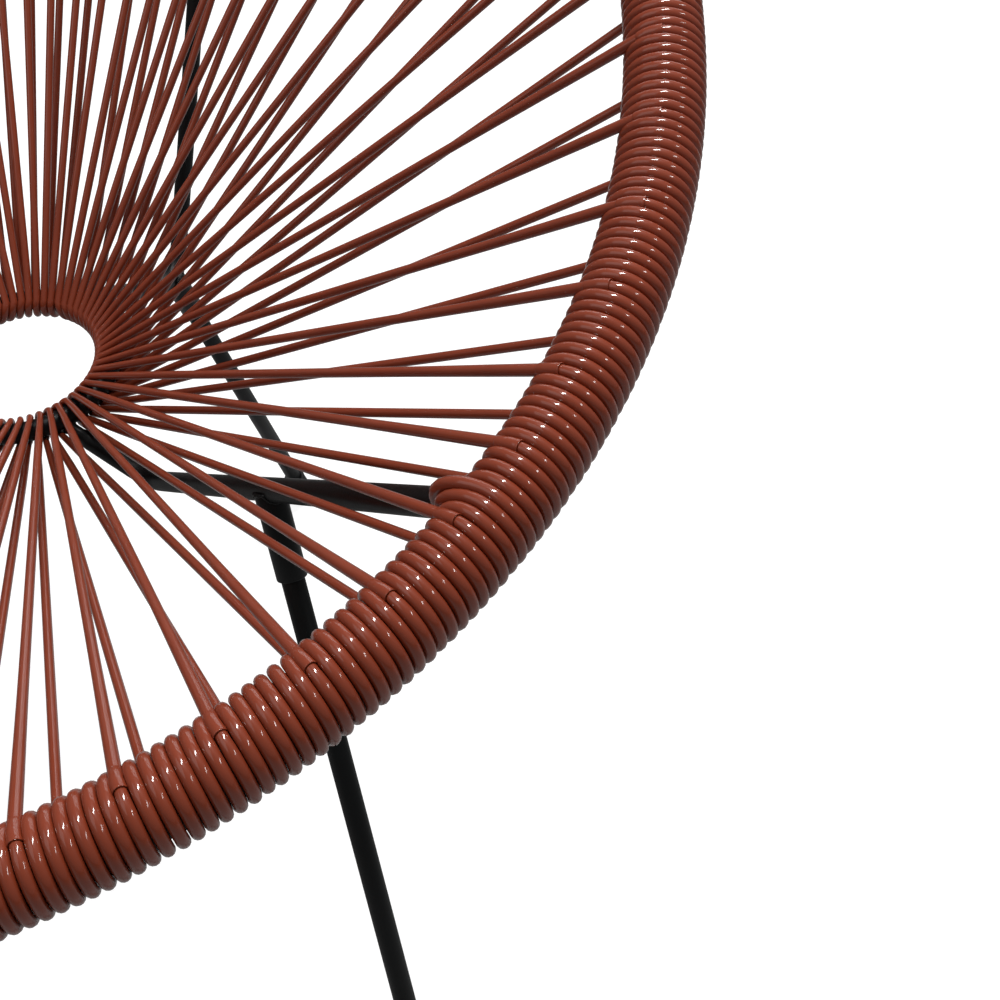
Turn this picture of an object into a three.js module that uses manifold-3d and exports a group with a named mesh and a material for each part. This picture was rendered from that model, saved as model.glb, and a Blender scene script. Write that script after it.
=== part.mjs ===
// A round cord lounge chair: an egg-shaped steel hoop wound with plastic cord, a cone of
// stretched cord that runs from the hoop to a small steel ring and back, and a tripod base.
// Millimetres. X runs to the sitter's left-hand side as seen from the front, the front of the
// seat faces -Y, and the floor is Z = 0 with the origin under the middle of the hoop.
import * as THREE from "three";
import { mergeVertices } from "three/addons/utils/BufferGeometryUtils.js";
import Module from "manifold-3d";

const wasm = await Module();
wasm.setup();

// Hoop
const hoopHalfBreadth = 326.1;
const hoopHalfLength = 474.5;
const backFullnessShare = 0.163;
const sideFlatnessShare = -0.052;
const hoopFrontHeight = 405.8;
const seatSlope = THREE.MathUtils.degToRad(19.65);
const backSlope = THREE.MathUtils.degToRad(52.2);
const seatRun = 480.8;
const backBendRadius = 556.9;
const hoopTubeDiameter = 25.4;

// Cord
const cordDiameter = 5.33;
const stretchedCordDiameter = 4.3;
const ringCordDiameter = 3.2;
const turnsPerFrontSection = 7;
const middleSectionTurns = [8, 8, 9, 9];
const frontSections = 13;
const sections = 60;
const sectionsPerCord = 2;
const threadsPerCord = 5;
const underLeadTurns = 0.5;
const seamLeadTurns = 2.2;

// Centre ring
const ringRadius = 50.3;
const ringRodDiameter = 11;
const ringDrop = 49;
const ringSetBack = 29;
const ringTilt = THREE.MathUtils.degToRad(12.3);
const upperCrowding = 0.09;
const lowerCrowding = 0.19;
const rearShift = THREE.MathUtils.degToRad(3);
const rearReach = THREE.MathUtils.degToRad(35);

// Base
const strutTopDiameter = 13.5;
const strutDiameter = 10.5;
const strutNeckDiameter = 6.6;
const strutNeckLength = 6;
const strutTaperLength = 8;
const strutBendRadius = 25;
const strutSkew = 2.7;
const strutSink = 2;
const strutHoopArc = 452;
const strutHoopAngle = THREE.MathUtils.degToRad(235);
const strutBendFromRing = new THREE.Vector3(93.7, -37.9, -29.3);
const legSeatShare = 0.575;
const frontFoot = new THREE.Vector3(318, -182, 0);
const backStrutBendFromRing = new THREE.Vector3(0, 176, -56.8);
const backStrutCrownFromHoop = new THREE.Vector3(0, 3.7, -136.6);
const backStrutCrownRadius = 260;
const rearFoot = new THREE.Vector3(0, 361, 0);
const legDiameter = 11.5;
const legPlay = 0.5;
const socketDiameter = 15;
const socketLength = 45;
const socketFloor = 6;
const capDiameter = 17;
const capHeight = 30;
const capFloor = 5;

// Fits
const clearance = 0.3;
const cordEndGap = 0.4;
const overrun = 20;
const weldSpread = 4;
const weldReach = THREE.MathUtils.degToRad(34);

// Facets
const hoopSides = 8;
const rodSides = 8;
const cordSides = 5;
const roundSides = 16;
const ringSteps = 30;
const loopSteps = 5;
const outlineSteps = 720;
const bendSteps = 4;

const cordColour = 0x8a4434;
const steelColour = 0x17181a;
const capColour = 0x101011;

const steelMaterial = () =>
  new THREE.MeshStandardMaterial({ color: steelColour, roughness: 0.45, metalness: 0.1 });
const cordMaterial = () =>
  new THREE.MeshStandardMaterial({ color: cordColour, roughness: 0.35, metalness: 0 });
const capMaterial = () =>
  new THREE.MeshStandardMaterial({ color: capColour, roughness: 0.7, metalness: 0 });

const along = (from, to, share) => new THREE.Vector3().lerpVectors(from, to, share);
const direction = (from, to) => new THREE.Vector3().subVectors(to, from).normalize();
const offset = (point, way, length) => point.clone().addScaledVector(way, length);

// Solids

function solidOf(geometry) {
  const bare = geometry.index ? geometry.clone() : geometry;
  bare.deleteAttribute("normal");
  bare.deleteAttribute("uv");
  const merged = mergeVertices(bare, 1e-5);
  return new wasm.Manifold(
    new wasm.Mesh({
      numProp: 3,
      vertProperties: new Float32Array(merged.attributes.position.array),
      triVerts: new Uint32Array(merged.index.array),
    }),
  );
}

function geometryOf(solid) {
  const mesh = solid.getMesh();
  const geometry = new THREE.BufferGeometry();
  geometry.setAttribute("position", new THREE.BufferAttribute(mesh.vertProperties, 3));
  geometry.setIndex(new THREE.BufferAttribute(mesh.triVerts, 1));
  geometry.computeVertexNormals();
  return geometry;
}

// A mesh from rows of points: each face is a list of point numbers, corner order outwards.
function skin(points, faces) {
  const geometry = new THREE.BufferGeometry().setFromPoints(points);
  const corners = [];
  for (const face of faces) {
    for (let k = 2; k < face.length; k++) {
      corners.push(face[0], face[k - 1], face[k]);
    }
  }
  geometry.setIndex(corners);
  const merged = mergeVertices(geometry, 1e-5);
  const index = merged.index.array;
  const kept = [];
  for (let k = 0; k < index.length; k += 3) {
    const [a, b, c] = [index[k], index[k + 1], index[k + 2]];
    if (a !== b && b !== c && c !== a) {
      kept.push(a, b, c);
    }
  }
  merged.setIndex(kept);
  return merged;
}

// A closed round bar through the points, with its own radius at each of them.
function bar(points, radii, sides) {
  const rings = [];
  const tangents = points.map((point, i) =>
    direction(points[Math.max(i - 1, 0)], points[Math.min(i + 1, points.length - 1)]),
  );
  let side = new THREE.Vector3(1, 0, 0);
  if (Math.abs(tangents[0].x) > Math.SQRT1_2) {
    side = new THREE.Vector3(0, 1, 0);
  }
  points.forEach((point, i) => {
    side.addScaledVector(tangents[i], -side.dot(tangents[i])).normalize();
    const up = new THREE.Vector3().crossVectors(tangents[i], side);
    for (let j = 0; j < sides; j++) {
      const angle = (2 * Math.PI * j) / sides;
      const place = offset(point, side, radii[i] * Math.cos(angle));
      rings.push(place.addScaledVector(up, radii[i] * Math.sin(angle)));
    }
  });
  const faces = [];
  for (let i = 0; i + 1 < points.length; i++) {
    for (let j = 0; j < sides; j++) {
      const next = (j + 1) % sides;
      const row = i * sides;
      faces.push([row + j, row + next, row + sides + next, row + sides + j]);
    }
  }
  const last = (points.length - 1) * sides;
  faces.push(Array.from({ length: sides }, (_, j) => sides - 1 - j));
  faces.push(Array.from({ length: sides }, (_, j) => last + j));
  return skin(rings, faces);
}

const evenBar = (points, radius, sides) => bar(points, points.map(() => radius), sides);

// The corner of a bent rod as points on an arc of the given radius.
function bend(before, corner, after, radius) {
  const arrive = direction(corner, before);
  const leave = direction(corner, after);
  const half = arrive.angleTo(leave) / 2;
  const reach = radius / Math.tan(half);
  const centre = offset(
    corner,
    new THREE.Vector3().addVectors(arrive, leave).normalize(),
    radius / Math.sin(half),
  );
  const start = offset(corner, arrive, reach);
  const end = offset(corner, leave, reach);
  const points = [];
  for (let k = 0; k <= bendSteps; k++) {
    const chord = along(start, end, k / bendSteps);
    const turn = (Math.PI / 2 - half) * ((2 * k) / bendSteps - 1);
    const spoke = direction(centre, along(start, end, 1 / 2));
    const across = direction(start, end);
    chord.copy(centre);
    chord.addScaledVector(spoke, radius * Math.cos(turn));
    chord.addScaledVector(across, radius * Math.sin(turn));
    points.push(chord);
  }
  return points;
}

// Hoop

// Height and depth of the hoop's ruled surface after a run along its side view.
function sideView(run) {
  const bendRun = backBendRadius * (backSlope - seatSlope);
  const straight = Math.min(run, seatRun);
  const bent = Math.min(Math.max(run - seatRun, 0), bendRun);
  const rest = Math.max(run - seatRun - bendRun, 0);
  const slope = seatSlope + bent / backBendRadius;
  const depth =
    straight * Math.cos(seatSlope) +
    backBendRadius * (Math.sin(slope) - Math.sin(seatSlope)) +
    rest * Math.cos(backSlope);
  const height =
    straight * Math.sin(seatSlope) +
    backBendRadius * (Math.cos(seatSlope) - Math.cos(slope)) +
    rest * Math.sin(backSlope);
  return { depth, height, slope };
}

const hoopDepth = sideView(2 * hoopHalfLength).depth;

// The hoop's centre line, from the front middle round the +X side to the back and on.
const outline = [];
for (let i = 0; i <= outlineSteps; i++) {
  const turn = (2 * Math.PI * i) / outlineSteps;
  const breadth =
    Math.sin(turn) + backFullnessShare * Math.sin(2 * turn) + sideFlatnessShare * Math.sin(3 * turn);
  const view = sideView(hoopHalfLength * (1 - Math.cos(turn)));
  const point = new THREE.Vector3(
    hoopHalfBreadth * breadth,
    view.depth - hoopDepth / 2,
    hoopFrontHeight + view.height,
  );
  outline.push({ point, slope: view.slope, arc: 0 });
}
for (let i = 1; i <= outlineSteps; i++) {
  outline[i].arc = outline[i - 1].arc + outline[i].point.distanceTo(outline[i - 1].point);
}
const hoopLength = outline[outlineSteps].arc;

// Centre, outward way and upper way of the hoop at an arc from the front middle.
function hoopFrame(arc) {
  const wrapped = ((arc % hoopLength) + hoopLength) % hoopLength;
  const i = Math.max(outline.findIndex((entry) => entry.arc > wrapped), 1);
  const share = (wrapped - outline[i - 1].arc) / (outline[i].arc - outline[i - 1].arc);
  const slope = THREE.MathUtils.lerp(outline[i - 1].slope, outline[i].slope, share);
  const upper = new THREE.Vector3(0, -Math.sin(slope), Math.cos(slope));
  const tangent = direction(outline[i - 1].point, outline[i].point);
  tangent.addScaledVector(upper, -tangent.dot(upper)).normalize();
  return {
    centre: along(outline[i - 1].point, outline[i].point, share),
    outward: new THREE.Vector3().crossVectors(tangent, upper),
    upper,
    tangent,
  };
}

// Arcs at which a stretched cord comes over the hoop and the next section of turns begins.
const halfLips = [];
let lipArc = (turnsPerFrontSection * cordDiameter) / 2;
for (let i = 0; i < frontSections; i++) {
  halfLips.push(lipArc);
  lipArc += turnsPerFrontSection * cordDiameter;
}
for (const turns of middleSectionTurns) {
  halfLips.push(lipArc);
  lipArc += turns * cordDiameter;
}
const backSections = sections / 2 - halfLips.length;
const backSectionLength = (hoopLength / 2 - lipArc) / (backSections - 1 / 2);
for (let i = 0; i < backSections; i++) {
  halfLips.push(lipArc + i * backSectionLength);
}
const lips = [...halfLips, ...halfLips.map((arc) => hoopLength - arc).reverse()];

// The sleeves of turns meet a little before each lip, so that a lip's cord lies on one of them.
const seamLead = seamLeadTurns * cordDiameter;
const seams = lips.map((arc) => arc - seamLead);
seams.push(seams[0] + hoopLength);
const seamFrames = seams.map(hoopFrame);

// A point on the faceted hoop: straight between the seams.
function onHoop(arc, radius, angle) {
  let i = 0;
  while (i + 2 < seams.length && arc > seams[i + 1]) {
    i++;
  }
  const share = (arc - seams[i]) / (seams[i + 1] - seams[i]);
  const ends = [seamFrames[i], seamFrames[i + 1]].map((frame) => {
    const place = offset(frame.centre, frame.outward, radius * Math.cos(angle));
    return place.addScaledVector(frame.upper, radius * Math.sin(angle));
  });
  return ends[0].lerp(ends[1], share);
}

const hoopAngles = Array.from({ length: hoopSides }, (_, j) => (2 * Math.PI * j) / hoopSides);

function hoopTube(radius) {
  const points = [];
  const faces = [];
  for (let i = 0; i < sections; i++) {
    for (const angle of hoopAngles) {
      points.push(onHoop(seams[i], radius, angle));
    }
    const row = i * hoopSides;
    const next = ((i + 1) % sections) * hoopSides;
    for (let j = 0; j < hoopSides; j++) {
      const k = (j + 1) % hoopSides;
      faces.push([row + j, next + j, next + k, row + k]);
    }
  }
  return skin(points, faces);
}

// Turns: a sleeve over the hoop tube whose crest and valley each climb as one helix.
const boreRadius = hoopTubeDiameter / 2 + clearance;
const crestRadius = hoopTubeDiameter / 2 + cordDiameter;
const valleyRadius = hoopTubeDiameter / 2 + cordDiameter / 2;

function turnSleeve(first) {
  const start = seams[first] + cordEndGap / 2;
  const end = seams[first + sectionsPerCord] - cordEndGap / 2;
  const pitch = (end - start) / threadsPerCord;
  const points = [];
  const faces = [];
  const rows = 2 * threadsPerCord + 4;
  for (let row = 0; row <= rows; row++) {
    hoopAngles.forEach((angle, j) => {
      const climb = ((row - 2) / 2 + j / hoopSides) * pitch;
      const inside = climb > 0 && climb < end - start;
      const crest = row % 2 === 1 && inside;
      const arc = start + Math.min(Math.max(climb, 0), end - start);
      points.push(onHoop(arc, crest ? crestRadius : valleyRadius, angle));
    });
  }
  const number = (row, j) => {
    const wrapped = j === hoopSides ? row + 2 : row;
    return Math.min(wrapped, rows) * hoopSides + (j % hoopSides);
  };
  for (let row = 0; row < rows; row++) {
    for (let j = 0; j < hoopSides; j++) {
      faces.push([number(row, j), number(row + 1, j), number(row + 1, j + 1)]);
      faces.push([number(row, j), number(row + 1, j + 1), number(row, j + 1)]);
    }
  }
  // Bore, with a ring of points at each seam, and the two flat ends.
  const bore = points.length;
  const stations = [start, ...seams.slice(first + 1, first + sectionsPerCord), end];
  for (const arc of stations) {
    for (const angle of hoopAngles) {
      points.push(onHoop(arc, boreRadius, angle));
    }
  }
  const lastBore = bore + (stations.length - 1) * hoopSides;
  for (let j = 0; j < hoopSides; j++) {
    const k = (j + 1) % hoopSides;
    for (let row = bore; row < lastBore; row += hoopSides) {
      faces.push([row + j, row + k, row + hoopSides + k, row + hoopSides + j]);
    }
    faces.push([j, k, bore + k, bore + j]);
    const rim = rows * hoopSides;
    faces.push([rim + j, lastBore + j, lastBore + k, rim + k]);
  }
  return skin(points, faces);
}

// Centre ring

const ringCentre = new THREE.Vector3(0, ringSetBack, hoopFrontHeight - ringDrop);
const strutBend = ringCentre.clone().add(strutBendFromRing);
const ringAcross = new THREE.Vector3(1, 0, 0);
const ringBackward = new THREE.Vector3(0, Math.cos(ringTilt), Math.sin(ringTilt));
const ringUpward = new THREE.Vector3(0, -Math.sin(ringTilt), Math.cos(ringTilt));

function ringWay(angle) {
  const way = ringAcross.clone().multiplyScalar(Math.sin(angle));
  return way.addScaledVector(ringBackward, -Math.cos(angle));
}

const ringPoint = (angle) => offset(ringCentre, ringWay(angle), ringRadius);

function ringTorus(tubeRadius) {
  const torus = new THREE.TorusGeometry(ringRadius, tubeRadius, rodSides, ringSteps);
  const stand = new THREE.Matrix4().makeBasis(ringAcross, ringBackward, ringUpward);
  torus.applyMatrix4(stand.setPosition(ringCentre));
  return torus;
}

// Above, the loops crowd toward the back of the ring, and beneath toward its front. At the
// back the lower ones lie between the upper ones.
const loopTurn = (i) => (2 * Math.PI * (i + 1 / 2)) / sections;

const upperAngle = (i) => loopTurn(i) + upperCrowding * Math.sin(loopTurn(i));

const lowerAngle = (i) => {
  const turn = loopTurn(i);
  const rear = Math.exp(-(((turn - Math.PI) / rearReach) ** 2));
  const crowding = lowerCrowding * (Math.sin(turn) - Math.sin(2 * turn) / 2);
  return turn - crowding - rearShift * rear;
};
const strutLoop = 9;
const strutWeldAngle = (lowerAngle(strutLoop) + lowerAngle(strutLoop + 1)) / 2;
const weldAngles = [strutWeldAngle, Math.PI, 2 * Math.PI - strutWeldAngle];

// Beneath, the loops also leave room for the three welded rods.

function underAngle(i) {
  const lower = lowerAngle(i);
  let angle = lower;
  for (const weld of weldAngles) {
    const away = lower - weld;
    const push = (weldSpread / ringRadius) * Math.exp(-Math.abs(away) / weldReach);
    angle += Math.sign(away) * push;
  }
  return angle;
}

// Stretched cord: hoop underside, round the ring and back to the hoop's upper side.
const loopRadius =
  (ringRodDiameter / 2 + clearance + ringCordDiameter / 2) / Math.cos(Math.PI / (2 * loopSteps));
const layRadius = (boreRadius + crestRadius) / 2;
const underLead = underLeadTurns * cordDiameter;
const tuckLength = stretchedCordDiameter / 2;

// Where a cord from the ring lies against the hoop's turns: side is 1 on top, -1 beneath.
function hoopTangent(arc, toward, side) {
  const frame = hoopFrame(arc);
  const way = direction(frame.centre, toward);
  const inward = new THREE.Vector2(way.dot(frame.outward), way.dot(frame.upper)).normalize();
  const place = offset(frame.centre, frame.outward, side * layRadius * inward.y);
  place.addScaledVector(frame.upper, -side * layRadius * inward.x);
  const tuck = offset(place, frame.outward, -tuckLength * inward.x);
  tuck.addScaledVector(frame.upper, -tuckLength * inward.y);
  return { place, tuck };
}

function cordLine(i) {
  const points = [];
  for (let k = 0; k <= loopSteps; k++) {
    const angle = THREE.MathUtils.lerp(underAngle(i), upperAngle(i), k / loopSteps);
    const way = ringWay(angle);
    const rod = ringPoint(angle);
    const rise = direction(rod, hoopFrame(lips[i]).centre);
    const lean = Math.atan2(rise.dot(ringUpward), rise.dot(way));
    const turn = lean - Math.PI / 2 - (Math.PI * k) / loopSteps;
    const place = offset(rod, way, loopRadius * Math.cos(turn));
    points.push(place.addScaledVector(ringUpward, loopRadius * Math.sin(turn)));
  }
  const under = hoopTangent(lips[i] + underLead, points[0], -1);
  const over = hoopTangent(lips[i], points[loopSteps], 1);
  return [under.tuck, ...points, over.tuck];
}

function cordBar(i) {
  const points = cordLine(i);
  const radii = points.map((point, k) => {
    const end = k === 0 || k === points.length - 1;
    return (end ? stretchedCordDiameter : ringCordDiameter) / 2;
  });
  return bar(points, radii, cordSides);
}

// Least gap between neighbouring stretched cords, measured on points along both.
function leastGap() {
  const samples = 24;
  const lines = lips.map((_, i) => {
    const points = cordLine(i);
    const dense = [];
    for (let k = 0; k + 1 < points.length; k++) {
      for (let s = 0; s < samples; s++) {
        dense.push(along(points[k], points[k + 1], s / samples));
      }
    }
    return dense;
  });
  let least = Infinity;
  lines.forEach((line, i) => {
    const other = lines[(i + 1) % sections];
    for (const a of line) {
      for (const b of other) {
        least = Math.min(least, a.distanceTo(b));
      }
    }
  });
  return least - ringCordDiameter;
}

// Struts

const strutRadii = (points, growth) => {
  const last = points.length - 1;
  return points.map((_, k) => {
    const full = k === 0 ? strutTopDiameter : strutDiameter;
    return (k >= last - 1 ? strutNeckDiameter : full) / 2 + growth;
  });
};

// A rod's run from its bend to the ring: full size, then a taper, then a neck.
function neckPoints(bendEnd, ringEnd) {
  const way = direction(ringEnd, bendEnd);
  const surface = offset(ringEnd, way, ringRodDiameter / 2);
  const neckStart = offset(surface, way, strutNeckLength);
  return [offset(neckStart, way, strutTaperLength), neckStart, ringEnd];
}

const strutHoop = hoopFrame(strutHoopArc);
const strutTop = offset(
  offset(strutHoop.centre, strutHoop.outward, (hoopTubeDiameter / 2) * Math.cos(strutHoopAngle)),
  strutHoop.upper,
  (hoopTubeDiameter / 2) * Math.sin(strutHoopAngle),
);

function strutPoints() {
  const weld = ringPoint(strutWeldAngle - strutSkew / ringRadius);
  const ringEnd = offset(weld, ringUpward, -strutSink);
  const corner = bend(strutTop, strutBend, ringEnd, strutBendRadius);
  const tail = neckPoints(corner[corner.length - 1], ringEnd);
  return [strutTop, ...corner, ...tail];
}

const backRingEnd = ringPoint(Math.PI);
const backHoopEnd = hoopFrame(hoopLength / 2).centre;
const backStrutBend = ringCentre.clone().add(backStrutBendFromRing);
const backStrutCrown = backHoopEnd.clone().add(backStrutCrownFromHoop);
const backCorner = bend(backStrutCrown, backStrutBend, backRingEnd, strutBendRadius);

function backStrutPoints() {
  const crown = bend(backHoopEnd, backStrutCrown, backStrutBend, backStrutCrownRadius);
  const tail = neckPoints(backCorner[bendSteps], backRingEnd);
  return [backHoopEnd, ...crown, ...backCorner, ...tail];
}

const strutBar = (points, growth) => bar(points, strutRadii(points, growth), rodSides);

const mirrored = (point) => new THREE.Vector3(-point.x, point.y, point.z);
const strutRight = strutPoints();
const strutLeft = strutRight.map(mirrored);
const backStrut = backStrutPoints();
const rods = [strutRight, strutLeft, backStrut];

// Legs: a socket under each strut, a leg in it, and a cap cut flat on the floor.

const legs = [
  { name: "right", seat: along(strutTop, strutBend, legSeatShare), foot: frontFoot, rod: strutRight },
  {
    name: "left",
    seat: mirrored(along(strutTop, strutBend, legSeatShare)),
    foot: mirrored(frontFoot),
    rod: strutLeft,
  },
  { name: "rear", seat: backCorner[bendSteps / 2], foot: rearFoot, rod: backStrut },
];

function cylinder(from, to, radius) {
  return solidOf(evenBar([from, to], radius, roundSides));
}

function socket({ seat, foot, rod }) {
  const down = direction(seat, foot);
  const tube = cylinder(seat, offset(seat, down, socketLength), socketDiameter / 2);
  const mouth = offset(seat, down, strutDiameter / 2 + socketFloor);
  const bore = cylinder(
    mouth,
    offset(seat, down, socketLength + overrun),
    (legDiameter + legPlay) / 2 + clearance,
  );
  return tube.subtract(bore).subtract(solidOf(strutBar(rod, clearance)));
}

function leg({ seat, foot }) {
  const down = direction(seat, foot);
  const top = offset(seat, down, strutDiameter / 2 + socketFloor + clearance);
  const bottom = offset(foot, down, -legSoleHeight(down));
  return solidOf(evenBar([top, bottom], legDiameter / 2, roundSides));
}

// Length along the leg's line from the floor to the sole of the leg inside its cap.
const legSoleHeight = (down) => (capFloor + legDiameter / 2) / -down.z;

function footCap({ seat, foot }) {
  const down = direction(seat, foot);
  const top = offset(foot, down, -capHeight / -down.z);
  const cap = cylinder(top, offset(foot, down, overrun), capDiameter / 2);
  const bore = cylinder(
    offset(top, down, -overrun),
    offset(foot, down, -legSoleHeight(down) + clearance),
    legDiameter / 2 + clearance,
  );
  const ground = new THREE.BoxGeometry(4 * overrun, 4 * overrun, 2 * overrun);
  ground.translate(foot.x, foot.y, -overrun);
  return cap.subtract(bore).subtract(solidOf(ground));
}

// Assembly

const chair = new THREE.Group();

function addMesh(parent, name, solid, material) {
  const mesh = new THREE.Mesh(geometryOf(solid), material);
  mesh.name = name;
  parent.add(mesh);
}

const frame = new THREE.Group();
const hoopBlank = solidOf(hoopTube(boreRadius));
const ringBlank = solidOf(ringTorus(ringRodDiameter / 2 + clearance));
addMesh(frame, "hoop_tube", solidOf(hoopTube(hoopTubeDiameter / 2)), steelMaterial());
addMesh(frame, "centre_ring", solidOf(ringTorus(ringRodDiameter / 2)), steelMaterial());
["strut_right", "strut_left", "back_strut"].forEach((name, i) => {
  const rod = solidOf(strutBar(rods[i], 0)).subtract(hoopBlank).subtract(ringBlank);
  addMesh(frame, name, rod, steelMaterial());
});

const base = new THREE.Group();
for (const entry of legs) {
  addMesh(base, "leg_socket_" + entry.name, socket(entry), steelMaterial());
  addMesh(base, "leg_" + entry.name, leg(entry), steelMaterial());
  addMesh(base, "foot_cap_" + entry.name, footCap(entry), capMaterial());
}

const net = new THREE.Group();
const rodBlanks = rods.map((points) => solidOf(strutBar(points, clearance)));
for (let first = 0; first < sections; first += sectionsPerCord) {
  let cord = solidOf(turnSleeve(first));
  for (let i = first; i < first + sectionsPerCord; i++) {
    cord = cord.add(solidOf(cordBar(i)));
  }
  for (const blank of rodBlanks) {
    cord = cord.subtract(blank);
  }
  const name = "cord_" + String(first / sectionsPerCord + 1).padStart(2, "0");
  addMesh(net, name, cord, cordMaterial());
}
console.log("least gap between neighbouring cords, mm: " + leastGap().toFixed(2));

chair.add(frame, base, net);

export default chair;
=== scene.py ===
import bmesh
import bpy
import math
from mathutils import Matrix, Vector


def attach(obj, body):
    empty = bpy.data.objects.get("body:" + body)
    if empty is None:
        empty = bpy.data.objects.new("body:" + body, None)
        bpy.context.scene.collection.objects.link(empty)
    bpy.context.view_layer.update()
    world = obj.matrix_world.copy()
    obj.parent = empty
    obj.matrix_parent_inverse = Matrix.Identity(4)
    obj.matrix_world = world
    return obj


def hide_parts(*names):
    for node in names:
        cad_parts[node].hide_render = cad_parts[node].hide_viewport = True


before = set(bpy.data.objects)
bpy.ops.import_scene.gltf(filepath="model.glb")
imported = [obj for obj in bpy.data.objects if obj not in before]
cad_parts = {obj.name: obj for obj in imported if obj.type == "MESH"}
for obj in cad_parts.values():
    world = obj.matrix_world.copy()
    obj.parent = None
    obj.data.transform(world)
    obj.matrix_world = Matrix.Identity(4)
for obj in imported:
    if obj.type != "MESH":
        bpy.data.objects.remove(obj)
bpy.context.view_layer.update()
mm = 0.001     # the scene is in metres
print("frame loaded")


camera = {
    "place": (0.470437, -0.595622, 0.881111),
    "azimuth": 17.356,     # degrees, turned from looking along +Y
    "elevation": 40.148,   # degrees down
    "lens": 59.154,        # mm
    "sensor": 36,          # mm across
    "clipStart": 10 * mm,
}


def setCamera():
    data = bpy.data.cameras.new("camera")
    data.lens = camera["lens"]
    data.sensor_width = camera["sensor"]
    data.clip_start = camera["clipStart"]
    eye = bpy.data.objects.new("camera", data)
    eye.location = camera["place"]
    eye.rotation_euler = (math.radians(90 - camera["elevation"]), 0, math.radians(camera["azimuth"]))
    bpy.context.collection.objects.link(eye)
    bpy.context.scene.camera = eye


setCamera()


# hoop: an egg-shaped tube, bent up at the back; sizes as in the solids
hoop = {
    "halfBreadth": 326.1 * mm,
    "halfLength": 474.5 * mm,
    "backFullness": 0.163,
    "sideFlatness": -0.052,
    "frontHeight": 405.8 * mm,
    "seatSlope": math.radians(19.65),
    "backSlope": math.radians(52.2),
    "seatRun": 480.8 * mm,
    "bendRadius": 556.9 * mm,
    "tubeRadius": 12.7 * mm,
    "outlineSteps": 1440,
    "steps": 720,
    "sides": 32,
}

cord = {
    "radius": 2.665 * mm,          # as wound
    "spokeRadius": 2.08 * mm,      # stretched
    "ringRadius": 2.15 * mm,       # pressed together, round the ring's back
    "ringFrontRadius": 1.6 * mm,
    "ringReach": 45 * mm,          # over which it takes the radius it has at the ring
    "underRadius": 2.2 * mm,       # where it leaves the hoop's underside
    "topRadius": 2.6 * mm,         # where it comes onto the hoop's top
    "topReach": 110 * mm,          # over which it thins most on its way to the ring
    "topFarReach": 300 * mm,       # over which it thins the rest
    "topNearShare": 0.75,
    "sleeveRadius": 2.88 * mm,     # joining sleeve that the next cord starts in
    "sleeveLength": 11 * mm,
    "sleeveShoulder": 0.6 * mm,    # length of the step at the sleeve's closed end
    "sleeveFlare": 0.08 * mm,
    "flareLength": 1 * mm,
    "sleeveWall": 0.4 * mm,
    "mouthDepth": 3 * mm,
    "lipRounding": 0.18 * mm,
    "startRadius": 2.36 * mm,      # where a cord leaves its sleeve
    "startLift": 0.35 * mm,
    "sections": 60,
    "frontTurns": 7,
    "frontSections": 13,
    "middleTurns": (8, 8, 9, 9),
    # degrees from the hoop's outer side, 90 is on top; the ends in view are set one by one
    "lipAngle": 97,
    "lipAngles": {6: 100, 7: 100, 8: 94, 9: 95, 10: 97, 11: 103, 12: 97, 13: 108, 14: 96, 15: 86,
                  16: 87, 17: 91},
    "lipWander": 5,                # degrees, where the ends are out of view
    "lipWanderRate": 2.4,
    "stepsPerTurn": 36,
    "spokeSteps": 24,
    "loopSteps": 24,
    "lipSteps": 10,
    "sides": 14,
}

ring = {
    "radius": 50.3 * mm,
    "rodRadius": 5.5 * mm,
    "drop": 49 * mm,               # below the hoop's front
    "setBack": 29 * mm,
    "tilt": math.radians(12.3),
    "upperCrowding": 0.09,         # loops crowd toward the back above, and to the front beneath
    "lowerCrowding": 0.19,
    "rearShift": math.radians(3),  # at the back, the lower ones lie between the upper ones
    "rearReach": math.radians(35),
    "strutLoop": 9,                # the loop before the right strut's weld
    "weldSpread": 4 * mm,          # by which the loops beneath leave room for a welded rod
    "weldReach": math.radians(34),
    "steps": 240,
    "sides": 32,
}


def sideView(run):
    # depth, height and slope after a run along the hoop's side view
    bendRun = hoop["bendRadius"] * (hoop["backSlope"] - hoop["seatSlope"])
    straight = min(run, hoop["seatRun"])
    bent = min(max(run - hoop["seatRun"], 0), bendRun)
    rest = max(run - hoop["seatRun"] - bendRun, 0)
    slope = hoop["seatSlope"] + bent / hoop["bendRadius"]
    start, end = hoop["seatSlope"], hoop["backSlope"]
    depth = (straight * math.cos(start) + hoop["bendRadius"] * (math.sin(slope) - math.sin(start))
             + rest * math.cos(end))
    height = (straight * math.sin(start) + hoop["bendRadius"] * (math.cos(start) - math.cos(slope))
              + rest * math.sin(end))
    return depth, height, slope


def hoopOutline():
    # centre points with the side view's slope and the arc so far
    wholeDepth = sideView(2 * hoop["halfLength"])[0]
    steps = hoop["outlineSteps"]
    outline = []
    arc = 0
    for i in range(steps + 1):
        turn = 2 * math.pi * i / steps
        breadth = (math.sin(turn) + hoop["backFullness"] * math.sin(2 * turn)
                   + hoop["sideFlatness"] * math.sin(3 * turn))
        depth, height, slope = sideView(hoop["halfLength"] * (1 - math.cos(turn)))
        point = Vector((hoop["halfBreadth"] * breadth, depth - wholeDepth / 2,
                        hoop["frontHeight"] + height))
        if outline:
            arc += (point - outline[-1][0]).length
        outline.append((point, slope, arc))
    return outline


outline = hoopOutline()
hoopLength = outline[-1][2]


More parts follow.
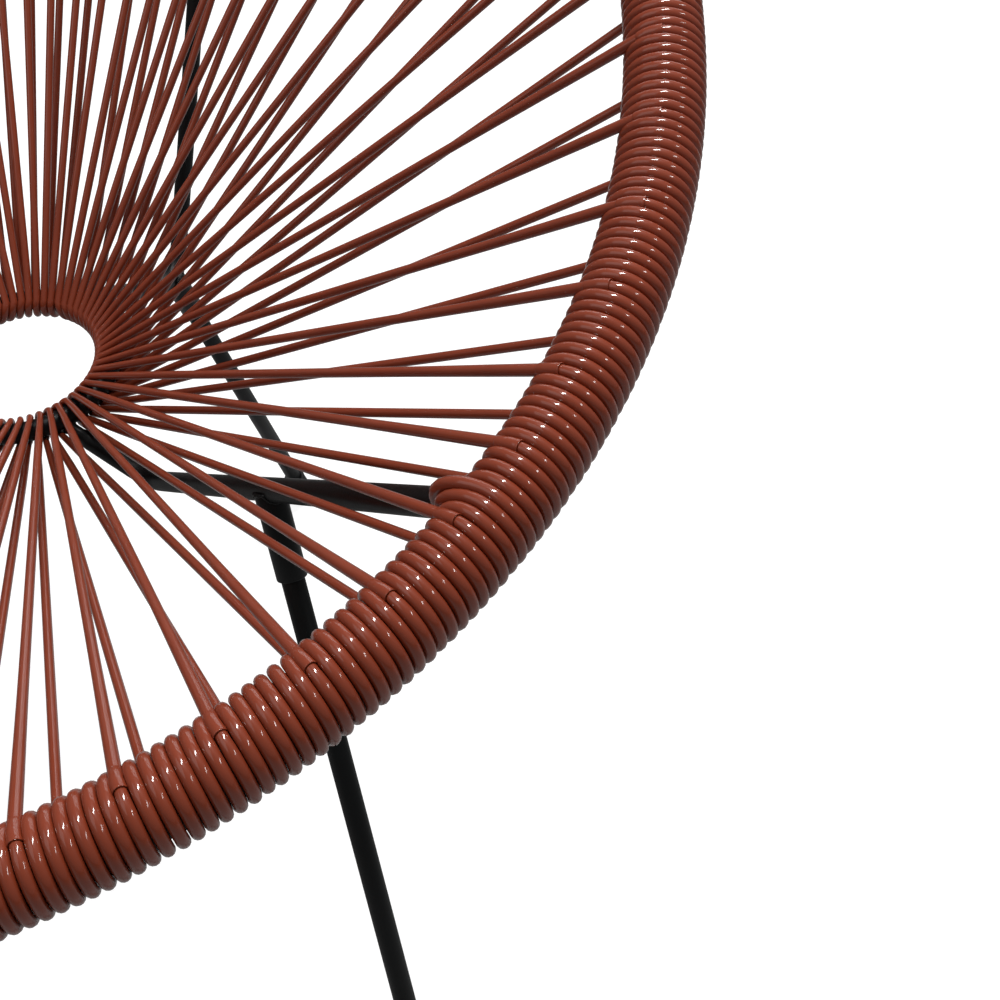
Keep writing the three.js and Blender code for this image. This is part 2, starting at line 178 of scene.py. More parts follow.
def hoopFrame(arc):
    # centre, outward way, upper way and tangent of the hoop at an arc from the front middle
    arc = arc % hoopLength
    low, high = 0, len(outline) - 1
    while high - low > 1:
        middle = (low + high) // 2
        if outline[middle][2] > arc:
            high = middle
        else:
            low = middle
    before, after = outline[low], outline[high]
    share = (arc - before[2]) / (after[2] - before[2])
    slope = before[1] + share * (after[1] - before[1])
    # the tangent is blended between neighbouring steps, so that turns don't jump
    ahead = outline[(high + 1) % (len(outline) - 1)][0] - before[0]
    behind = after[0] - outline[(low - 1) % (len(outline) - 1)][0]
    tangent = (behind.normalized() * (1 - share) + ahead.normalized() * share).normalized()
    upper = Vector((0, -math.sin(slope), math.cos(slope)))
    tangent = (tangent - upper * tangent.dot(upper)).normalized()
    return before[0].lerp(after[0], share), tangent.cross(upper), upper, tangent


def lipArcs():
    diameter = 2 * cord["radius"]
    arcs = []
    arc = cord["frontTurns"] * diameter / 2
    for i in range(cord["frontSections"]):
        arcs.append(arc)
        arc += cord["frontTurns"] * diameter
    for turns in cord["middleTurns"]:
        arcs.append(arc)
        arc += turns * diameter
    backCount = cord["sections"] // 2 - len(arcs)
    backLength = (hoopLength / 2 - arc) / (backCount - 0.5)
    arcs += [arc + i * backLength for i in range(backCount)]
    return arcs + [hoopLength - a for a in reversed(arcs)]


lips = lipArcs()
ringCentre = Vector((0, ring["setBack"], hoop["frontHeight"] - ring["drop"]))
ringBackward = Vector((0, math.cos(ring["tilt"]), math.sin(ring["tilt"])))
ringUpward = Vector((0, -math.sin(ring["tilt"]), math.cos(ring["tilt"])))


def ringWay(angle):
    return Vector((1, 0, 0)) * math.sin(angle) - ringBackward * math.cos(angle)


def ringPoint(angle):
    return ringCentre + ringWay(angle) * ring["radius"]


def loopTurn(i):
    return 2 * math.pi * (i + 0.5) / cord["sections"]


def upperAngle(i):
    turn = loopTurn(i)
    return turn + ring["upperCrowding"] * math.sin(turn)


def lowerAngle(i):
    turn = loopTurn(i)
    rear = math.exp(-((turn - math.pi) / ring["rearReach"]) ** 2)
    crowding = ring["lowerCrowding"] * (math.sin(turn) - math.sin(2 * turn) / 2)
    return turn - crowding - ring["rearShift"] * rear


strutAngle = (lowerAngle(ring["strutLoop"]) + lowerAngle(ring["strutLoop"] + 1)) / 2
weldAngles = (strutAngle, math.pi, 2 * math.pi - strutAngle)


def underAngle(i):
    # the lower angle with room for the welded rods
    lower = lowerAngle(i)
    angle = lower
    for weld in weldAngles:
        away = lower - weld
        push = ring["weldSpread"] / ring["radius"] * math.exp(-abs(away) / ring["weldReach"])
        angle += math.copysign(push, away)
    return angle


# materials

finish = {
    "vinylColours": ("#80351f", "#8d3d25"),
    "vinylClouds": 22.2 * mm,      # width of a cloud of colour
    "vinylWaves": 3.33 * mm,       # length of a wave left by the die
    "waveDepth": 0.5 * mm,
    "waveStrength": 0.02,
    "coatColour": "#050708",
    "coatPeel": 1.11 * mm,         # width of a bump of the orange peel
    "peelDepth": 0.3 * mm,
    "peelStrength": 0.25,
    "coatPatches": 33.3 * mm,      # width of a patch of slightly other gloss
    "coatRoughness": (0.36, 0.48),
    "rubberColour": "#141415",
    "rubberGrain": 0.667 * mm,     # width of a grain left by the mould
    "grainDepth": 0.3 * mm,
    "grainStrength": 0.3,
    "sharpAngle": math.radians(50),
}


def linear(hexColour):
    # sRGB hex to the linear values that the shader takes
    channels = [int(hexColour[i:i + 2], 16) / 255 for i in (1, 3, 5)]
    return tuple(c / 12.92 if c <= 0.04045 else ((c + 0.055) / 1.055) ** 2.4 for c in channels) + (1,)


def addNode(tree, kind, settings=None, links=None):
    node = tree.nodes.new(kind)
    for key, value in (settings or {}).items():
        if isinstance(key, int) or key in node.inputs:
            node.inputs[key].default_value = value
        else:
            setattr(node, key, value)
    for socket, source in (links or {}).items():
        tree.links.new(source, node.inputs[socket])
    return node


def newMaterial(name):
    material = bpy.data.materials.new(name)
    material.use_nodes = True
    tree = material.node_tree
    tree.nodes.clear()
    return material, tree


def cordVinyl():
    # extruded soft PVC: a smooth skin with small bright highlights, slightly wavy from the die,
    # over a dull, faintly clouded colour
    material, tree = newMaterial("extruded_pvc_cord")
    place = addNode(tree, "ShaderNodeTexCoord")
    clouds = addNode(tree, "ShaderNodeTexNoise", {"Scale": 1 / finish["vinylClouds"], "Detail": 2.0},
                     {"Vector": place.outputs["Object"]})
    dark, light = finish["vinylColours"]
    tint = addNode(tree, "ShaderNodeMix", {"data_type": "RGBA", 6: linear(dark), 7: linear(light)},
                   {0: clouds.outputs["Fac"]})
    waves = addNode(tree, "ShaderNodeTexNoise", {"Scale": 1 / finish["vinylWaves"], "Detail": 1.0},
                    {"Vector": place.outputs["Object"]})
    bump = addNode(tree, "ShaderNodeBump",
                   {"Strength": finish["waveStrength"], "Distance": finish["waveDepth"]},
                   {"Height": waves.outputs["Fac"]})
    shader = addNode(tree, "ShaderNodeBsdfPrincipled",
                     {"Roughness": 0.45, "IOR": 1.5, "Specular IOR Level": 0.1, "Coat Weight": 1.0,
                      "Coat Roughness": 0.1},
                     {"Base Color": tint.outputs[2], "Normal": bump.outputs["Normal"]})
    addNode(tree, "ShaderNodeOutputMaterial", None, {"Surface": shader.outputs["BSDF"]})
    return material


def powderCoat():
    # black polyester powder coat on steel: satin, its highlights broken by a fine orange peel
    material, tree = newMaterial("black_powder_coat")
    place = addNode(tree, "ShaderNodeTexCoord")
    peel = addNode(tree, "ShaderNodeTexNoise", {"Scale": 1 / finish["coatPeel"], "Detail": 2.0},
                   {"Vector": place.outputs["Object"]})
    bump = addNode(tree, "ShaderNodeBump",
                   {"Strength": finish["peelStrength"], "Distance": finish["peelDepth"]},
                   {"Height": peel.outputs["Fac"]})
    patches = addNode(tree, "ShaderNodeTexNoise", {"Scale": 1 / finish["coatPatches"], "Detail": 3.0},
                      {"Vector": place.outputs["Object"]})
    smoothest, roughest = finish["coatRoughness"]
    gloss = addNode(tree, "ShaderNodeMapRange", {"To Min": smoothest, "To Max": roughest},
                    {"Value": patches.outputs["Fac"]})
    shader = addNode(tree, "ShaderNodeBsdfPrincipled",
                     {"Base Color": linear(finish["coatColour"]), "IOR": 1.35},
                     {"Normal": bump.outputs["Normal"], "Roughness": gloss.outputs["Result"]})
    addNode(tree, "ShaderNodeOutputMaterial", None, {"Surface": shader.outputs["BSDF"]})
    return material


def capRubber():
    # moulded rubber: matt, without a clear highlight, under a fine grain
    material, tree = newMaterial("moulded_rubber")
    place = addNode(tree, "ShaderNodeTexCoord")
    grain = addNode(tree, "ShaderNodeTexNoise", {"Scale": 1 / finish["rubberGrain"], "Detail": 2.0},
                    {"Vector": place.outputs["Object"]})
    bump = addNode(tree, "ShaderNodeBump",
                   {"Strength": finish["grainStrength"], "Distance": finish["grainDepth"]},
                   {"Height": grain.outputs["Fac"]})
    shader = addNode(tree, "ShaderNodeBsdfPrincipled",
                     {"Base Color": linear(finish["rubberColour"]), "Roughness": 0.75, "IOR": 1.52},
                     {"Normal": bump.outputs["Normal"]})
    addNode(tree, "ShaderNodeOutputMaterial", None, {"Surface": shader.outputs["BSDF"]})
    return material


vinyl = cordVinyl()
blackCoat = powderCoat()
rubber = capRubber()
print("materials made")


# shared ways of making pieces

def sweep(name, points, radii, sides, closed=False):
    # a round tube through the points, with its own radius at each, as a mesh object
    curve = bpy.data.curves.new(name, "CURVE")
    curve.dimensions = "3D"
    curve.bevel_depth = 1
    curve.bevel_resolution = (sides - 4) // 2
    spline = curve.splines.new("POLY")
    spline.points.add(len(points) - 1)
    for entry, point, radius in zip(spline.points, points, radii):
        entry.co = (*point, 1)
        entry.radius = radius
    spline.use_smooth = True
    spline.use_cyclic_u = closed
    draft = bpy.data.objects.new(name, curve)
    bpy.context.collection.objects.link(draft)
    bpy.context.view_layer.update()
    evaluated = draft.evaluated_get(bpy.context.evaluated_depsgraph_get())
    mesh = bpy.data.meshes.new_from_object(evaluated)
    bpy.data.objects.remove(draft)
    bpy.data.curves.remove(curve)
    mesh.name = name
    piece = bpy.data.objects.new(name, mesh)
    bpy.context.collection.objects.link(piece)
    return piece


def closeEnds(piece):
    bm = bmesh.new()
    bm.from_mesh(piece.data)
    bmesh.ops.holes_fill(bm, edges=[e for e in bm.edges if e.is_boundary], sides=0)
    bmesh.ops.recalc_face_normals(bm, faces=bm.faces)
    bm.to_mesh(piece.data)
    bm.free()


def turned(profile, steps, place):
    # spins a list of (radius, height) points about Z and moves the result to its place
    bm = bmesh.new()
    corners = [bm.verts.new((radius, 0, height)) for radius, height in profile]
    edges = [bm.edges.new(pair) for pair in zip(corners, corners[1:])]
    if profile[0][0] > 0:
        edges.append(bm.edges.new((corners[-1], corners[0])))
    bmesh.ops.spin(bm, geom=corners + edges, cent=(0, 0, 0), axis=(0, 0, 1), angle=2 * math.pi,
                   steps=steps, use_merge=True)
    bmesh.ops.remove_doubles(bm, verts=bm.verts, dist=0.01 * mm)
    bmesh.ops.transform(bm, matrix=place, verts=bm.verts)
    bmesh.ops.recalc_face_normals(bm, faces=bm.faces)
    return bm


def meshPiece(name, bm):
    mesh = bpy.data.meshes.new(name)
    bm.to_mesh(mesh)
    bm.free()
    piece = bpy.data.objects.new(name, mesh)
    bpy.context.collection.objects.link(piece)
    return piece


def finishPiece(piece, material, nodes):
    piece.data.materials.clear()
    piece.data.materials.append(material)
    for face in piece.data.polygons:
        face.use_smooth = True
    piece.data.set_sharp_from_angle(angle=finish["sharpAngle"])
    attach(piece, "root")
    if nodes:
        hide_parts(*nodes)


def standing(base, top):
    # matrix that takes +Z to the way from base to top
    way = (top - base).normalized()
    return Matrix.Translation(base) @ way.to_track_quat("Z", "Y").to_matrix().to_4x4()


def smooth(share):
    share = min(max(share, 0), 1)
    return share * share * (3 - 2 * share)


# cords

# where a rod is welded to the hoop, turns of cord bulge over its end
bulges = {
    "strutSection": 11,
    "strutAngle": 190,             # degrees round the hoop
    # from the sleeve on: three turns stand out, nested in each other, and the next lean to them
    "strutRises": [rise * mm for rise in (0.5, 4.5, 9.5, 0, 0, 0)],
    "strutShifts": [shift * mm for shift in (1.6, 4, 6.5, 3, 1.4, 0.6)],
    "backAngle": 260,              # degrees round the hoop
    "backRise": 5 * mm,
    "halfLength": 6 * mm,          # along the hoop, either side of the back strut
    "fade": 3.5 * mm,
    "spread": 100,                 # degrees either side
}


def strutBulge(j, turns, turned):
    # how far a turn stands off the hoop and leans along it, over the end of a strut
    passed = round((turned + bulges["strutAngle"]) / 360)
    away = turned + bulges["strutAngle"] - 360 * passed
    if j == bulges["strutSection"]:
        rank, side = turns - 1 - passed, -1
    elif j == cord["sections"] - 2 - bulges["strutSection"]:
        rank, side = passed - 1, 1
    else:
        return 0, 0
    if rank < 0 or rank >= len(bulges["strutRises"]) or abs(away) > bulges["spread"]:
        return 0, 0
    share = math.cos(math.pi / 2 * away / bulges["spread"]) ** 2
    return bulges["strutRises"][rank] * share, side * bulges["strutShifts"][rank] * share


def backBulge(arc, degrees):
    # how far a turn stands off the hoop over the end of the back strut
    away = abs(arc - hoopLength / 2)
    turn = abs((degrees - bulges["backAngle"] + 180) % 360 - 180)
    if away > bulges["halfLength"] + bulges["fade"] or turn > bulges["spread"]:
        return 0
    along = smooth(1 - (away - bulges["halfLength"]) / bulges["fade"])
    return bulges["backRise"] * along * math.cos(math.pi / 2 * turn / bulges["spread"]) ** 2


def hoopPoint(arc, radius, degrees):
    centre, outward, upper, _ = hoopFrame(arc)
    turn = math.radians(degrees)
    return centre + outward * (radius * math.cos(turn)) + upper * (radius * math.sin(turn))


def leanAngle(arc, target, side):
    # angle round the hoop at which a straight cord from the target touches it, side 1 on top
    centre, outward, upper, _ = hoopFrame(arc)
    way = target - centre
    line = math.degrees(math.atan2(way.dot(upper), way.dot(outward))) % 360
    return line - 90 * side


def lipAngle(j):
    wandered = cord["lipAngle"] + cord["lipWander"] * math.sin(cord["lipWanderRate"] * j)
    return cord["lipAngles"].get(j, wandered)


def sectionTurns(j):
    length = (lips[(j + 1) % len(lips)] - lips[j]) % hoopLength
    return length, round(length / (2 * cord["radius"]))


winding = {
    # degrees of turn
    "tuck": 12,                    # inside the sleeve
    "fill": 34,                    # over which the cord comes out to its full radius
    "leave": 60,                   # before the end, where it starts to thin
    "leaveReach": 90,
    # beside the two cords that leave for the ring, the turns spread to close the gap
    "spread": 0.3,                 # share of the pitch
    "spreadFall": 1.5,             # how fast it falls from one turn to the next
    "spreadTurns": 2,
    "spreadAfter": 256,            # degrees from the start
    "spreadBefore": 270,           # degrees before the end
    "spreadReach": 120,
    # a slight unevenness along the hoop
    "waver": 0.08 * mm,
    "waverRate": 0.013,
    "waverPhase": 3.7,
}


def turnSpread(gone, lastTurn):
    # shift along the hoop after a number of degrees, as a share of the pitch
    spread = 0
    for turn in range(winding["spreadTurns"]):
        after = abs(gone - winding["spreadAfter"] - 360 * turn)
        before = abs(lastTurn - winding["spreadBefore"] - 360 * turn - gone)
        spread += winding["spread"] / (1 + winding["spreadFall"] * turn) * (
            smooth(1 - after / winding["spreadReach"]) - smooth(1 - before / winding["spreadReach"]))
    return spread


def windTurns(j, endAngle):
    # from inside the sleeve at the section's upper end, down the hoop to where the cord leaves it
    length, turns = sectionTurns(j)
    pitch = length / turns
    start = lips[j] + length
    startAngle = lipAngle((j + 1) % cord["sections"])
    lastTurn = startAngle - endAngle + 360 * (turns - 1)
    steps = round(lastTurn / 360 * cord["stepsPerTurn"])
    tuck = winding["tuck"]
    points, radii = [], []
    for k in range(steps + 1):
        gone = -tuck + (lastTurn + tuck) * k / steps
        out = smooth(gone / winding["fill"])
        leaving = smooth((gone - lastTurn + winding["leave"]) / winding["leaveReach"])
        radius = cord["startRadius"] + (cord["radius"] - cord["startRadius"]) * out
        radius -= (cord["radius"] - cord["underRadius"]) * leaving
        waver = winding["waver"] * math.sin(j * winding["waverPhase"] + gone * winding["waverRate"])
        degrees = startAngle - gone
        rise, shift = strutBulge(j, turns, -degrees)
        arc = start - pitch * gone / 360 + pitch * turnSpread(gone, lastTurn) + waver + shift
        stand = hoop["tubeRadius"] + radius + cord["startLift"] * (1 - out) + rise
        stand += backBulge(arc, degrees)
        points.append(hoopPoint(arc, stand, degrees))
        radii.append(radius)
    return points, radii


def loopRadius(j):
    # the cord's radius round the ring, least at the front
    front = (1 + math.cos(upperAngle(j))) / 2
    return cord["ringRadius"] + (cord["ringFrontRadius"] - cord["ringRadius"]) * front


def ringLoop(j):
    # round the ring's rod, from its underside through the hole to its top
    reach = ring["rodRadius"] + loopRadius(j)
    steps = cord["loopSteps"]
    loop = []
    for k in range(steps + 1):
        angle = underAngle(j) + (upperAngle(j) - underAngle(j)) * k / steps
        way = ringWay(angle)
        rod = ringPoint(angle)
        rise = hoopFrame(lips[j])[0] - rod
        turn = math.atan2(rise.dot(ringUpward), rise.dot(way)) - math.pi / 2 - math.pi * k / steps
        loop.append(rod + way * (reach * math.cos(turn)) + ringUpward * (reach * math.sin(turn)))
    return loop


def ringPull(j, fromRing):
    # how much thinner the cord is at a distance from the ring
    return (cord["spokeRadius"] - loopRadius(j)) * (1 - smooth(fromRing / cord["ringReach"]))


def topRadius(toLip):
    # the cord's radius by its distance from the sleeve's open end
    if toLip < cord["sleeveLength"]:
        return cord["sleeveRadius"] + cord["sleeveFlare"] * smooth(1 - toLip / cord["flareLength"])
    shoulder = smooth((toLip - cord["sleeveLength"]) / cord["sleeveShoulder"])
    near = cord["topNearShare"]
    far = near * smooth(toLip / cord["topReach"]) + (1 - near) * smooth(toLip / cord["topFarReach"])
    radius = cord["topRadius"] + (cord["spokeRadius"] - cord["topRadius"]) * far
    return cord["sleeveRadius"] + (radius - cord["sleeveRadius"]) * shoulder


# closer rows of points where the radius changes at the sleeve, before its closed end
sleeveRows = [away * mm for away in (4, 1, 0.6, 0.45, 0.3, 0.15, 0)]
contactRow = 1.5 * mm              # before the cord touches the hoop
leastWrap = 4                      # degrees that the cord lies on the hoop at least


def topRun(j, loopEnd):
    # from the ring over the hoop's top to the sleeve's open end
    end = lipAngle(j)
    touch = max(leanAngle(lips[j], loopEnd, 1), end + leastWrap)
    onHoop = math.radians(touch - end) * (hoop["tubeRadius"] + cord["sleeveRadius"])
    contact = hoopPoint(lips[j], hoop["tubeRadius"] + topRadius(onHoop), touch)
    length = (contact - loopEnd).length
    spokeSteps = cord["spokeSteps"]
    places = [length * k / spokeSteps for k in range(1, spokeSteps)] + [length - contactRow]
    places += [length + onHoop - cord["sleeveLength"] - away for away in sleeveRows]
    points, radii = [], []
    for place in sorted(p for p in places if 0 < p < length):
        points.append(loopEnd.lerp(contact, place / length))
        radii.append(topRadius(length - place + onHoop) - ringPull(j, place))
    for k in range(cord["lipSteps"] + 1):
        share = k / cord["lipSteps"]
        radius = topRadius(onHoop * (1 - share))
        points.append(hoopPoint(lips[j], hoop["tubeRadius"] + radius, touch + (end - touch) * share))
        radii.append(radius)
    return points, radii


def cordPath(j):
    # turns on the hoop, down to the ring, round it and back up to the sleeve
    loop = ringLoop(j)
    points, radii = windTurns(j, leanAngle(lips[j], loop[0], -1) - 360)
    leave = points[-1]
    for k in range(1, cord["spokeSteps"]):
        share = k / cord["spokeSteps"]
        point = leave.lerp(loop[0], share)
        points.append(point)
        radius = cord["underRadius"] + (cord["spokeRadius"] - cord["underRadius"]) * share
        radii.append(radius - ringPull(j, (point - loop[0]).length))
    points += loop
    radii += [loopRadius(j)] * len(loop)
    topPoints, topRadii = topRun(j, loop[-1])
    return points + topPoints, radii + topRadii


def openMouth(piece, end, back):
    # closes both ends and hollows the sleeve's, with a rounded lip
    bm = bmesh.new()
    bm.from_mesh(piece.data)
    bmesh.ops.holes_fill(bm, edges=[e for e in bm.edges if e.is_boundary], sides=0)
    caps = [f for f in bm.faces if len(f.verts) > 4]
    cap = min(caps, key=lambda f: (f.calc_center_median() - end).length)
    rim = list(cap.edges)
    bmesh.ops.inset_individual(bm, faces=[cap], thickness=cord["sleeveWall"], depth=0)
    made = bmesh.ops.extrude_discrete_faces(bm, faces=[cap])
    bmesh.ops.translate(bm, verts=made["faces"][0].verts, vec=back * cord["mouthDepth"])
    bmesh.ops.bevel(bm, geom=rim, offset=cord["lipRounding"], segments=2, profile=0.5,
                    affect="EDGES", material=-1)
    bmesh.ops.recalc_face_normals(bm, faces=bm.faces)
    bm.to_mesh(piece.data)
    bm.free()


def makeCords():
    for j in range(cord["sections"]):
        points, radii = cordPath(j)
        piece = sweep("cord_section_%02d" % (j + 1), points, radii, cord["sides"])
        openMouth(piece, points[-1], (points[-2] - points[-1]).normalized())
        finishPiece(piece, vinyl, ["cord_%02d" % (j // 2 + 1)])


makeCords()
print("cords wound")


# hoop tube and ring

def makeHoop():
    steps = hoop["steps"]
    points = [hoopFrame(hoopLength * k / steps)[0] for k in range(steps)]
    piece = sweep("hoop_bent_tube", points, [hoop["tubeRadius"]] * steps, hoop["sides"], closed=True)
    finishPiece(piece, blackCoat, ["hoop_tube"])


def makeRing():
    steps = ring["steps"]
    points = [ringPoint(2 * math.pi * k / steps) for k in range(steps)]
    piece = sweep("ring_bent_rod", points, [ring["rodRadius"]] * steps, ring["sides"], closed=True)
    finishPiece(piece, blackCoat, ["centre_ring"])


makeHoop()
makeRing()
print("hoop and ring made")


# struts

strut = {
    "topRadius": 6.75 * mm,
    "radius": 5.25 * mm,
    "neckRadius": 3.3 * mm,
    "neckLength": 6 * mm,
    "taperLength": 8 * mm,
    "taperSteps": 8,
    # the weld's fillet: distance from the ring and how much thicker than the neck
    "fillet": ((2 * mm, 0), (1 * mm, 0.5 * mm), (-1 * mm, 1.3 * mm)),
    "bendRadius": 25 * mm,
    "bendSteps": 20,
    "skew": 2.7 * mm,              # along the ring, off the middle between two loops
    "sink": 2 * mm,                # below the ring's centre line
    "hoopArc": 452 * mm,
    "hoopAngle": 235,              # degrees from the hoop's outer side
    "bend": Vector((93.7, -8.9, 327.5)) * mm,
    "backBend": Vector((0, 205, 300)) * mm,
    "backCrown": Vector((0, 403, 734)) * mm,
    "backCrownRadius": 260 * mm,
    "sides": 32,
}


def bendPoints(before, corner, after, radius):
    # the corner of a bent rod, as points on an arc
    arrive = (before - corner).normalized()
    leave = (after - corner).normalized()
    half = arrive.angle(leave) / 2
    centre = corner + (arrive + leave).normalized() * (radius / math.sin(half))
    first = corner + arrive * (radius / math.tan(half)) - centre
    axis = arrive.cross(leave).normalized()
    whole = math.pi - 2 * half
    steps = strut["bendSteps"]
    turns = [Matrix.Rotation(-whole * k / steps, 3, axis) @ first for k in range(steps + 1)]
    return [centre + turn for turn in turns]


def bentRod(start, corners, ringEnd, startRadius):
    # a rod from the hoop through its bends to a thin neck at the ring
    points, radii = [start], [startRadius]
    for corner in corners:
        points += corner
    radii += [strut["radius"]] * (len(points) - 1)
    way = (points[-1] - ringEnd).normalized()
    tail = [(strut["neckLength"] + strut["taperLength"], strut["radius"])]
    for k in range(1, strut["taperSteps"] + 1):
        share = k / strut["taperSteps"]
        radius = strut["radius"] + (strut["neckRadius"] - strut["radius"]) * smooth(share)
        tail.append((strut["neckLength"] + strut["taperLength"] * (1 - share), radius))
    tail += [(away, strut["neckRadius"] + more) for away, more in strut["fillet"]]
    for away, radius in tail:
        points.append(ringEnd + way * (ring["rodRadius"] + away))
        radii.append(radius)
    return points, radii


def flip(point):
    return Vector((-point.x, point.y, point.z))


strutTop = hoopPoint(strut["hoopArc"], hoop["tubeRadius"], strut["hoopAngle"])
strutRingEnd = ringPoint(strutAngle - strut["skew"] / ring["radius"]) - ringUpward * strut["sink"]
backTop = hoopFrame(hoopLength / 2)[0]
backRingEnd = ringPoint(math.pi)
backCorner = bendPoints(strut["backCrown"], strut["backBend"], backRingEnd, strut["bendRadius"])


def makeStruts():
    corner = bendPoints(strutTop, strut["bend"], strutRingEnd, strut["bendRadius"])
    points, radii = bentRod(strutTop, [corner], strutRingEnd, strut["topRadius"])
    crown = bendPoints(backTop, strut["backCrown"], strut["backBend"], strut["backCrownRadius"])
    backPoints, backRadii = bentRod(backTop, [crown, backCorner], backRingEnd, strut["topRadius"])
    for name, node, way, sizes in (("strut_rod_right", "strut_right", points, radii),
                                   ("strut_rod_left", "strut_left", [flip(p) for p in points], radii),
                                   ("back_strut_rod", "back_strut", backPoints, backRadii)):
        piece = sweep(name, way, sizes, strut["sides"])
        closeEnds(piece)
        finishPiece(piece, blackCoat, [node])


makeStruts()
print("struts made")


# legs: socket, leg and foot cap

leg = {
    "radius": 5.75 * mm,
    "edge": 0.5 * mm,
    "seatShare": 0.575,            # along the strut, from the hoop to its bend
    "frontFoot": Vector((318, -182, 0)) * mm,
    "rearFoot": Vector((0, 361, 0)) * mm,
    "socketRadius": 7.5 * mm,
    "socketLength": 45 * mm,
    "socketBore": 6.3 * mm,
    "socketFloor": 11.25 * mm,     # from the rod's centre line to the bore's end
    # rounded edges, each as points of distance in from the wall and from the end
    "socketTop": ((0.9 * mm, 0), (0.25 * mm, 0.25 * mm), (0, 0.9 * mm)),
    "socketRim": ((0, 0.7 * mm), (0.2 * mm, 0.2 * mm), (0.7 * mm, 0)),
    "socketMouth": 0.3 * mm,
    "floorPlay": 0.3 * mm,
    "capRadius": 8.5 * mm,
    "capHeight": 30 * mm,
    "capFloor": 5 * mm,
    "capFit": 0.1 * mm,
    "capMouth": (0.4 * mm, 0.5 * mm),
    # the collar and the groove under it, as points of distance in from the wall and from the top
    "capCollar": ((1.5 * mm, 0), (0.7 * mm, 0.3 * mm), (0.3 * mm, 1 * mm), (0.3 * mm, 3 * mm),
                  (0.9 * mm, 3.8 * mm), (0.9 * mm, 5 * mm), (0.5 * mm, 5.8 * mm)),
    "capWidest": 0.7,              # share of the height at which the wall is widest
    "capOverrun": 20 * mm,         # made longer, then cut flat at the floor
    "steps": 40,
}


def socketPiece(name, seat, foot, node):
    outer, bore, length = leg["socketRadius"], leg["socketBore"], leg["socketLength"]
    mouth = leg["socketMouth"]
    profile = [(0, 0)]
    profile += [(outer - inward, down) for inward, down in leg["socketTop"]]
    profile += [(outer - inward, length - up) for inward, up in leg["socketRim"]]
    profile += [(bore + mouth, length), (bore, length - mouth), (bore, leg["socketFloor"]),
                (0, leg["socketFloor"])]
    bm = turned(profile, leg["steps"], standing(seat, foot))
    finishPiece(meshPiece(name, bm), blackCoat, [node])


def legPiece(name, seat, foot, node):
    down = (foot - seat).normalized()
    sole = (leg["capFloor"] + leg["radius"] / 2) / -down.z
    top = leg["socketFloor"] + leg["floorPlay"]
    end = (foot - seat).length - sole
    radius, edge = leg["radius"], leg["edge"]
    profile = [(0, top), (radius - edge, top), (radius, top + edge), (radius, end - edge),
               (radius - edge, end), (0, end)]
    bm = turned(profile, leg["steps"], standing(seat, foot))
    finishPiece(meshPiece(name, bm), blackCoat, [node])


def capPiece(name, seat, foot, node):
    # a collar on top, walls that widen a little, cut flat where it stands
    down = (foot - seat).normalized()
    height = leg["capHeight"] / -down.z
    top = foot - down * height
    bore, outer = leg["radius"] + leg["capFit"], leg["capRadius"]
    wider, deeper = leg["capMouth"]
    end = height + leg["capOverrun"]
    profile = [(bore, deeper), (bore + wider, 0)]
    profile += [(outer - inward, below) for inward, below in leg["capCollar"]]
    profile += [(outer, height * leg["capWidest"]), (outer, end), (bore, end)]
    bm = turned(profile, leg["steps"], standing(top, foot))
    made = bmesh.ops.bisect_plane(bm, geom=bm.verts[:] + bm.edges[:] + bm.faces[:], plane_co=(0, 0, 0),
                                  plane_no=(0, 0, -1), clear_outer=True)
    cut = [e for e in made["geom_cut"] if isinstance(e, bmesh.types.BMEdge)]
    bmesh.ops.bridge_loops(bm, edges=cut)
    bmesh.ops.recalc_face_normals(bm, faces=bm.faces)
    finishPiece(meshPiece(name, bm), rubber, [node])


bead = {
    "radius": 0.8 * mm,
    "sink": 0.78,                  # share of the rod's squared radius at which the bead lies
    "least": 0.3 * mm,
    "ripple": 0.12,
    "ripples": 19,
    "steps": 120,
    "sides": 12,
}


def beadPiece(name, seat, foot, rodWay):
    # weld bead along the curve where the socket meets the rod
    down = (foot - seat).normalized()
    across = down.cross(rodWay).normalized()
    forward = across.cross(down)
    lean = rodWay.dot(down) / rodWay.dot(forward)
    points, radii = [], []
    for k in range(bead["steps"]):
        turn = 2 * math.pi * k / bead["steps"]
        side = leg["socketRadius"] * math.sin(turn)
        ahead = leg["socketRadius"] * math.cos(turn)
        rise = math.sqrt(max(strut["topRadius"] ** 2 * bead["sink"] - side ** 2, 0))
        depth = max(ahead * lean + rise * math.hypot(1, lean), bead["least"])
        points.append(seat + across * side + forward * ahead + down * depth)
        radii.append(bead["radius"] * (1 + bead["ripple"] * math.sin(turn * bead["ripples"])))
    piece = sweep(name, points, radii, bead["sides"], closed=True)
    finishPiece(piece, blackCoat, None)


def makeLegs():
    front = strutTop.lerp(strut["bend"], leg["seatShare"])
    rodWay = (strut["bend"] - strutTop).normalized()
    middle = backCorner[len(backCorner) // 2]
    backWay = (backCorner[-1] - backCorner[0]).normalized()
    for side, seat, foot, way in (("right", front, leg["frontFoot"], rodWay),
                                  ("left", flip(front), flip(leg["frontFoot"]), flip(rodWay)),
                                  ("rear", middle, leg["rearFoot"], backWay)):
        socketPiece("socket_" + side, seat, foot, "leg_socket_" + side)
        legPiece("leg_rod_" + side, seat, foot, "leg_" + side)
        capPiece("rubber_foot_" + side, seat, foot, "foot_cap_" + side)
        beadPiece("socket_weld_" + side, seat, foot, way)


makeLegs()
print("legs made")


# floor and light

